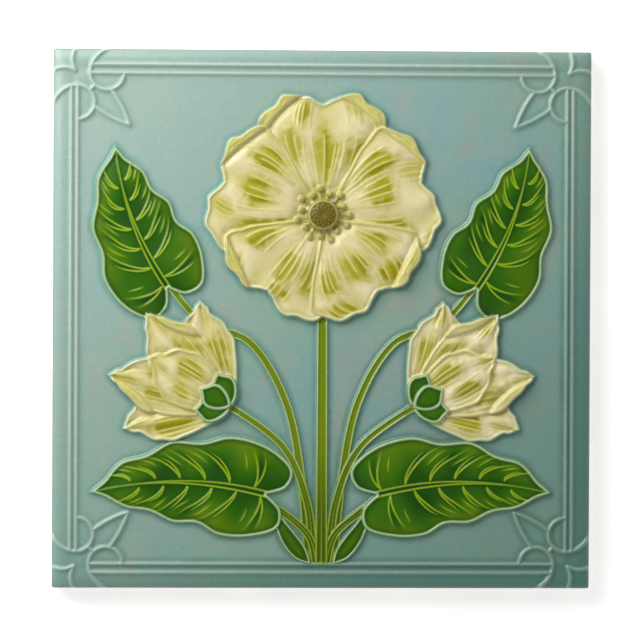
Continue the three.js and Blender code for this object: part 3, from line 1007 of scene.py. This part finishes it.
def make_body(material):
    """The bare clay: a block with keying grooves across its back."""
    first = -(GROOVE_COUNT - 1) * GROOVE_SPACING / 2
    end = TILE_LENGTH / 2 - GROOVE_END_MARGIN
    walls = [
        first + k * GROOVE_SPACING + side * GROOVE_WIDTH / 2 + share * GROOVE_SOFTNESS
        for k in range(GROOVE_COUNT) for side in (-1, 1) for share in (-1, -0.5, 0, 0.5, 1)
    ]
    ends = [side * (end + out) for side in (-1, 1) for out in (-1.2, -0.8, -0.4, 0, 0.3)]
    half_x, half_y = TILE_WIDTH / 2 - CLAY_INSET, TILE_LENGTH / 2 - CLAY_INSET
    x, y = body_positions(half_x, walls), body_positions(half_y, ends)
    gx, gy = np.meshgrid(x, y)
    nearest = np.abs((gx - first + GROOVE_SPACING / 2) % GROOVE_SPACING - GROOVE_SPACING / 2)
    in_row = np.abs(gx) < -first + GROOVE_SPACING / 2
    across = smooth(-GROOVE_SOFTNESS, GROOVE_SOFTNESS, GROOVE_WIDTH / 2 - nearest) * in_row
    along = smooth(-0.3, 1.2, end - np.abs(gy))
    inset = np.minimum(half_x - np.abs(gx), half_y - np.abs(gy))
    chamfer = CLAY_CHAMFER * (1 - smooth(0, CLAY_CHAMFER, inset)) ** 1.5
    worn = 0.05 * (patch_noise(gx, gy, 9, 5, 4) - 0.5) * smooth(0.6, 2, inset)
    z = GROOVE_DEPTH * across * along + chamfer + np.maximum(worn, 0)
    rows = [(0.0, GROUND_Z * 0.25), (0.0, GROUND_Z * 0.5), (0.0, GROUND_Z * 0.62), (0.4, GROUND_Z * 0.66)]
    slab("clay_body", x, y, z, rows, {}, material).data.flip_normals()


# Materials

def linear(red, green, blue):
    """A colour from 0 to 255 as the eye sees it, made linear."""
    def channel(value):
        value /= 255
        return value / 12.92 if value <= 0.04045 else ((value + 0.055) / 1.055) ** 2.4
    return (channel(red), channel(green), channel(blue), 1.0)


class Shader:
    """A material's node tree, with short names for the nodes that the glazes use."""

    def __init__(self, name):
        self.material = bpy.data.materials.new(name)
        self.material.use_nodes = True
        self.nodes = self.material.node_tree.nodes
        self.links = self.material.node_tree.links
        self.surface = self.nodes["Principled BSDF"]
        place = self.nodes.new("ShaderNodeTexCoord").outputs["Object"]
        scale = self.node("VectorMath", place, operation="SCALE")
        scale.inputs["Scale"].default_value = 1 / MM
        self.millimetres = scale.outputs[0]

    def put(self, socket, value):
        """Gives a socket a node's output, a number, or a colour from 0 to 255."""
        if isinstance(value, bpy.types.NodeSocket):
            self.links.new(value, socket)
        else:
            socket.default_value = linear(*value) if isinstance(value, tuple) else value

    def node(self, kind, *values, **settings):
        """A new node with those settings, and with the values in its first sockets, None in none."""
        node = self.nodes.new("ShaderNode" + kind)
        for name, setting in settings.items():
            setattr(node, name, setting)
        for socket, value in zip(node.inputs, values):
            if value is not None:
                self.put(socket, value)
        return node

    def layer(self, name):
        return self.node("Attribute", attribute_name=name).outputs["Fac"]

    def noise(self, size, detail):
        return self.node("TexNoise", self.millimetres, None, 1 / size, detail, 0.55).outputs["Fac"]

    def from_middle(self, operation):
        """How far out a place lies from the middle: MAXIMUM of x and y, or MINIMUM for the corners."""
        size = self.node("VectorMath", self.millimetres, operation="ABSOLUTE")
        parts = self.node("SeparateXYZ", size.outputs[0])
        return self.maths(operation, parts.outputs["X"], parts.outputs["Y"])

    def away_from_key(self):
        """-1 in the face's upper left corner, 1 in its lower right one, away from the key light: painted
        light and painted shade run this way.
        """
        way = Vector((1 / TILE_WIDTH, -1 / TILE_LENGTH, 0))
        return self.node("VectorMath", self.millimetres, way, operation="DOT_PRODUCT").outputs["Value"]

    def between(self, value, low, high, out_low=0, out_high=1):
        sockets = (value, low, high, out_low, out_high)
        return self.node("MapRange", *sockets, interpolation_type="SMOOTHSTEP").outputs[0]

    def maths(self, operation, a, b):
        return self.node("Math", a, b, operation=operation).outputs[0]

    def blend(self, share, a, b):
        node = self.node("Mix", share, data_type="RGBA")
        self.put(node.inputs[6], a)
        self.put(node.inputs[7], b)
        return node.outputs[2]

    def bump(self, height, strength, distance):
        node = self.node("Bump", strength, distance * MM)
        self.links.new(height, node.inputs["Height"])
        self.links.new(node.outputs["Normal"], self.surface.inputs["Normal"])

    def coats(self, colour, *coats):
        """Paints coats over a colour: each is the share that it covers and its own colour."""
        for share, coat in coats:
            colour = self.blend(share, colour, coat)
        return colour


def ground_glaze(s):
    """Turquoise: pooled deeper beside lines and forms, pale on the lines, with painted light to the upper
    left and painted shade to the lower right.
    """
    away_from_key, middle, border_share = s.away_from_key(), s.noise(15, 3), s.layer("border")
    patchy = s.between(middle, 0.25, 0.7, 0.45, 1)
    # How strongly glaze pools beside the lines: in patches and in the corners, and stronger towards the
    # lower right as painted shade
    run = s.maths("MULTIPLY", s.between(away_from_key, -0.7, 0.5, 0.25, 1), patchy)
    in_corner = s.between(s.from_middle("MINIMUM"), TILE_WIDTH / 2 - 26, TILE_WIDTH / 2 - 19, 0, 0.4)
    run = s.maths("MAXIMUM", run, in_corner)
    beside_line = s.maths("MULTIPLY", s.between(s.layer("line"), 0.4, 2.8, 1, 0), run)
    beside_line = s.maths("MULTIPLY", beside_line, s.between(border_share, 0, 1, 0.9, 0.25))
    beside_form = s.maths("MULTIPLY", s.between(s.layer("outside"), 0.2, 2.2, 0.8, 0), patchy)
    # Deeper teal over the border, more so towards the lower right: pooled glaze, with painted shade on the
    # side away from the key light
    on_rim = s.maths("MULTIPLY", border_share, s.between(away_from_key, -0.3, 0.8, 0.1, 0.7))
    on_edge = s.between(s.from_middle("MAXIMUM"), TILE_WIDTH / 2 - 0.9, TILE_WIDTH / 2, 0, 0.6)
    on_line = s.between(s.layer("ridge"), 0.12, 0.75)
    return s.coats(
        s.blend(s.between(s.noise(54, 2), 0.4, 0.62), (147, 181, 166), (139, 178, 176)),
        (s.between(middle, 0.46, 0.72, 0, 0.6), (165, 178, 168)),
        (s.between(s.noise(10, 2), 0.52, 0.72, 0, 0.5), (174, 172, 154)),
        (s.between(s.noise(5, 3), 0.5, 0.75, 0, 0.3), (124, 168, 160)),
        # Painted light towards the upper left, and painted shade towards the lower right on top of the key
        # light's fall-off, partly thicker glaze there too
        (s.between(away_from_key, -0.9, 0.1, 0.75, 0), (172, 196, 184)),
        (s.between(away_from_key, -0.2, 1.0, 0, 0.64), (106, 144, 122)),
        # Pooled glaze beside lines and forms, darker towards the lower right as painted shade
        (
            s.maths("MAXIMUM", beside_line, beside_form),
            s.blend(s.between(away_from_key, -0.5, 0.6), (102, 162, 152), (76, 122, 102)),
        ),
        (on_rim, (78, 128, 116)),
        (on_edge, (96, 104, 94)),
        # Glaze thinned pale over the lines, paler towards the upper left as painted light
        (s.maths("MULTIPLY", on_line, s.between(away_from_key, -0.6, 0.5, 0.75, 0.3)), (188, 205, 188)),
    )


def leaf_glaze(s):
    tone = s.layer("tone")
    return s.coats(
        # tone brings painted shade in the vein channels and painted light on the raised swells, besides the
        # leaf's own lighter margins and tip
        s.blend(s.between(tone, 0.0, 0.55), (26, 76, 2), (56, 112, 0)),
        (s.between(tone, 0.4, 0.95, 0, 0.9), (104, 136, 0)),
        (s.between(s.noise(15, 3), 0.45, 0.75, 0, 0.3), (36, 104, 8)),
        # Painted shade inside the leaf's rim
        (s.between(s.layer("inner"), 0.8, 2.4, 0.6, 0), (26, 66, 0)),
        (s.between(s.layer("vein"), 0.2, 0.85, 0, 0.9), (156, 188, 20)),
        (s.between(s.layer("ridge"), 0.2, 0.85, 0, 0.9), (176, 208, 150)),
    )


def petal_glaze(s):
    return s.coats(
        # tone brings painted light on the crests of folds and ruffles and painted shade in their hollows,
        # besides the cream's broad streaks
        s.blend(s.between(s.layer("tone"), 0.1, 0.8), (219, 208, 138), (240, 228, 177)),
        (s.between(s.noise(15, 3), 0.45, 0.7, 0, 0.5), (237, 217, 172)),
        # Painted light: petals lighter towards the lower right, against the key light's fall-off
        (s.between(s.away_from_key(), -0.1, 0.5, 0, 0.9), (255, 244, 205)),
        # Painted shade inside the rims, olive and darker near each outline
        (s.between(s.layer("inner"), 0.7, 2.4, 0.55, 0), (190, 184, 80)),
        (s.layer("olive"), (182, 174, 16)),
        (s.layer("deep"), (154, 142, 0)),
        (s.between(s.layer("vein"), 0.15, 0.85, 0, 0.75), (226, 220, 136)),
        (s.between(s.layer("ridge"), 0.15, 0.8, 0, 0.9), (214, 218, 176)),
    )


def stem_glaze(s):
    tone = s.layer("tone")
    return s.coats(
        s.blend(s.between(tone, 0, 1), (72, 100, 0), (120, 144, 6)),
        # Painted shade along the stem's sides, inside its rims
        (s.between(s.layer("inner"), 0.4, 1.1, 0.35, 0), (70, 92, 0)),
        (s.between(s.layer("vein"), 0.2, 0.7, 0, 0.8), (150, 176, 16)),
        (
            s.between(s.layer("ridge"), 0.25, 0.85, 0, 0.9),
            s.blend(s.between(tone, 0.2, 1), (156, 184, 40), (178, 208, 130)),
        ),
    )


def boss_glaze(s):
    return s.coats(
        (172, 160, 60),
        (s.layer("olive"), (112, 98, 18)),
        (s.layer("deep"), (78, 66, 10)),
        (s.between(s.layer("ridge"), 0.3, 0.9, 0, 0.6), (200, 196, 120)),
    )


def majolica():
    """All the glazes in one material: where each lies comes from the face's layers."""
    s = Shader("majolica_glazes")
    colour, painted = ground_glaze(s), 1
    shares = [s.layer(name) for name in GLAZES]
    for share in shares:
        painted = s.maths("SUBTRACT", painted, share)
    for share, glaze in zip(shares, (stem_glaze, leaf_glaze, petal_glaze, boss_glaze)):
        painted = s.maths("ADD", painted, share)
        cover = s.maths("DIVIDE", share, s.maths("MAXIMUM", painted, 0.001))
        colour = s.blend(cover, colour, glaze(s))
    grain = s.between(s.noise(1.3, 3), 0.3, 0.7, 0.06, 0)
    speck = s.between(s.noise(0.7, 1), 0.76, 0.8, 0, 0.35)
    colour = s.coats(colour, (grain, (60, 70, 60)), (speck, (96, 92, 70)))
    s.put(s.surface.inputs["Base Color"], colour)
    s.put(s.surface.inputs["Roughness"], s.between(s.noise(5, 3), 0.3, 0.7, 0.22, 0.32))
    s.surface.inputs["IOR"].default_value = 1.5
    s.bump(s.noise(2.6, 2), 0.3, 0.05)
    return s.material


def biscuit():
    """Bare fired clay, buff and a little stained."""
    s = Shader("buff_biscuit")
    clay = s.blend(s.between(s.noise(18, 4), 0.35, 0.65), (219, 203, 178), (201, 183, 156))
    clay = s.blend(s.between(s.noise(1.1, 3), 0.6, 0.75, 0, 0.5), clay, (168, 148, 120))
    s.put(s.surface.inputs["Base Color"], clay)
    s.surface.inputs["Roughness"].default_value = 0.85
    s.bump(s.noise(0.7, 4), 0.6, 0.12)
    return s.material


# Stage

def make_floor():
    bpy.ops.mesh.primitive_plane_add(size=4, location=(0, 0, -0.02 * MM))
    floor = bpy.context.object
    floor.name = "floor"
    s = Shader("pale_floor")
    s.surface.inputs["Base Color"].default_value = (0.92, 0.92, 0.92, 1)
    s.surface.inputs["Roughness"].default_value = 0.9
    s.surface.inputs["Specular IOR Level"].default_value = 0.1
    s.surface.inputs["Emission Color"].default_value = (1, 1, 1, 1)
    s.surface.inputs["Emission Strength"].default_value = 0.55
    floor.data.materials.append(s.material)


def make_light(name, place, size, power):
    data = bpy.data.lights.new(name, "AREA")
    data.size = size
    data.energy = power
    light = bpy.data.objects.new(name, data)
    light.location = place
    light.rotation_mode = "QUATERNION"
    light.rotation_quaternion = Vector(place).to_track_quat("Z", "Y")
    bpy.context.scene.collection.objects.link(light)


def make_room():
    """Soft light from all sides and little from straight above, so the glaze shows no veil."""
    world = bpy.data.worlds.new("studio")
    world.use_nodes = True
    nodes, links = world.node_tree.nodes, world.node_tree.links
    split = nodes.new("ShaderNodeSeparateXYZ")
    links.new(nodes.new("ShaderNodeTexCoord").outputs["Generated"], split.inputs[0])
    fade = nodes.new("ShaderNodeMapRange")
    links.new(split.outputs["Z"], fade.inputs["Value"])
    fade.inputs["To Min"].default_value = 1.0
    fade.inputs["To Max"].default_value = 0.05
    links.new(fade.outputs[0], nodes["Background"].inputs["Strength"])
    nodes["Background"].inputs["Color"].default_value = (1, 1, 1, 1)
    bpy.context.scene.world = world


def make_camera():
    """Looks down on the face, a little from the upper left, as the photograph does."""
    data = bpy.data.cameras.new("camera")
    data.sensor_width = 36
    data.lens = 146.86
    data.clip_start, data.clip_end = 0.01, 20
    camera = bpy.data.objects.new("camera", data)
    camera.location = (-0.0237, 0.0045, 0.75)
    camera.rotation_euler = [math.radians(turn) for turn in (-0.413, -1.819, 0.272)]
    bpy.context.scene.collection.objects.link(camera)
    bpy.context.scene.camera = camera
    bpy.context.scene.view_settings.view_transform = "Standard"


# Everything

picture_field = make_picture()
relief_cells = claim_cells(picture_field)
glazes = majolica()
make_face(picture_field, glazes)
make_body(biscuit())
for owner_index, owner_name in enumerate(OWNERS, start=1):
    relief_piece(picture_field, relief_cells, owner_index, glazes)
make_floor()
make_room()
make_light("key", (-0.24, 0.24, 0.26), 0.34, 1.85)
make_camera()
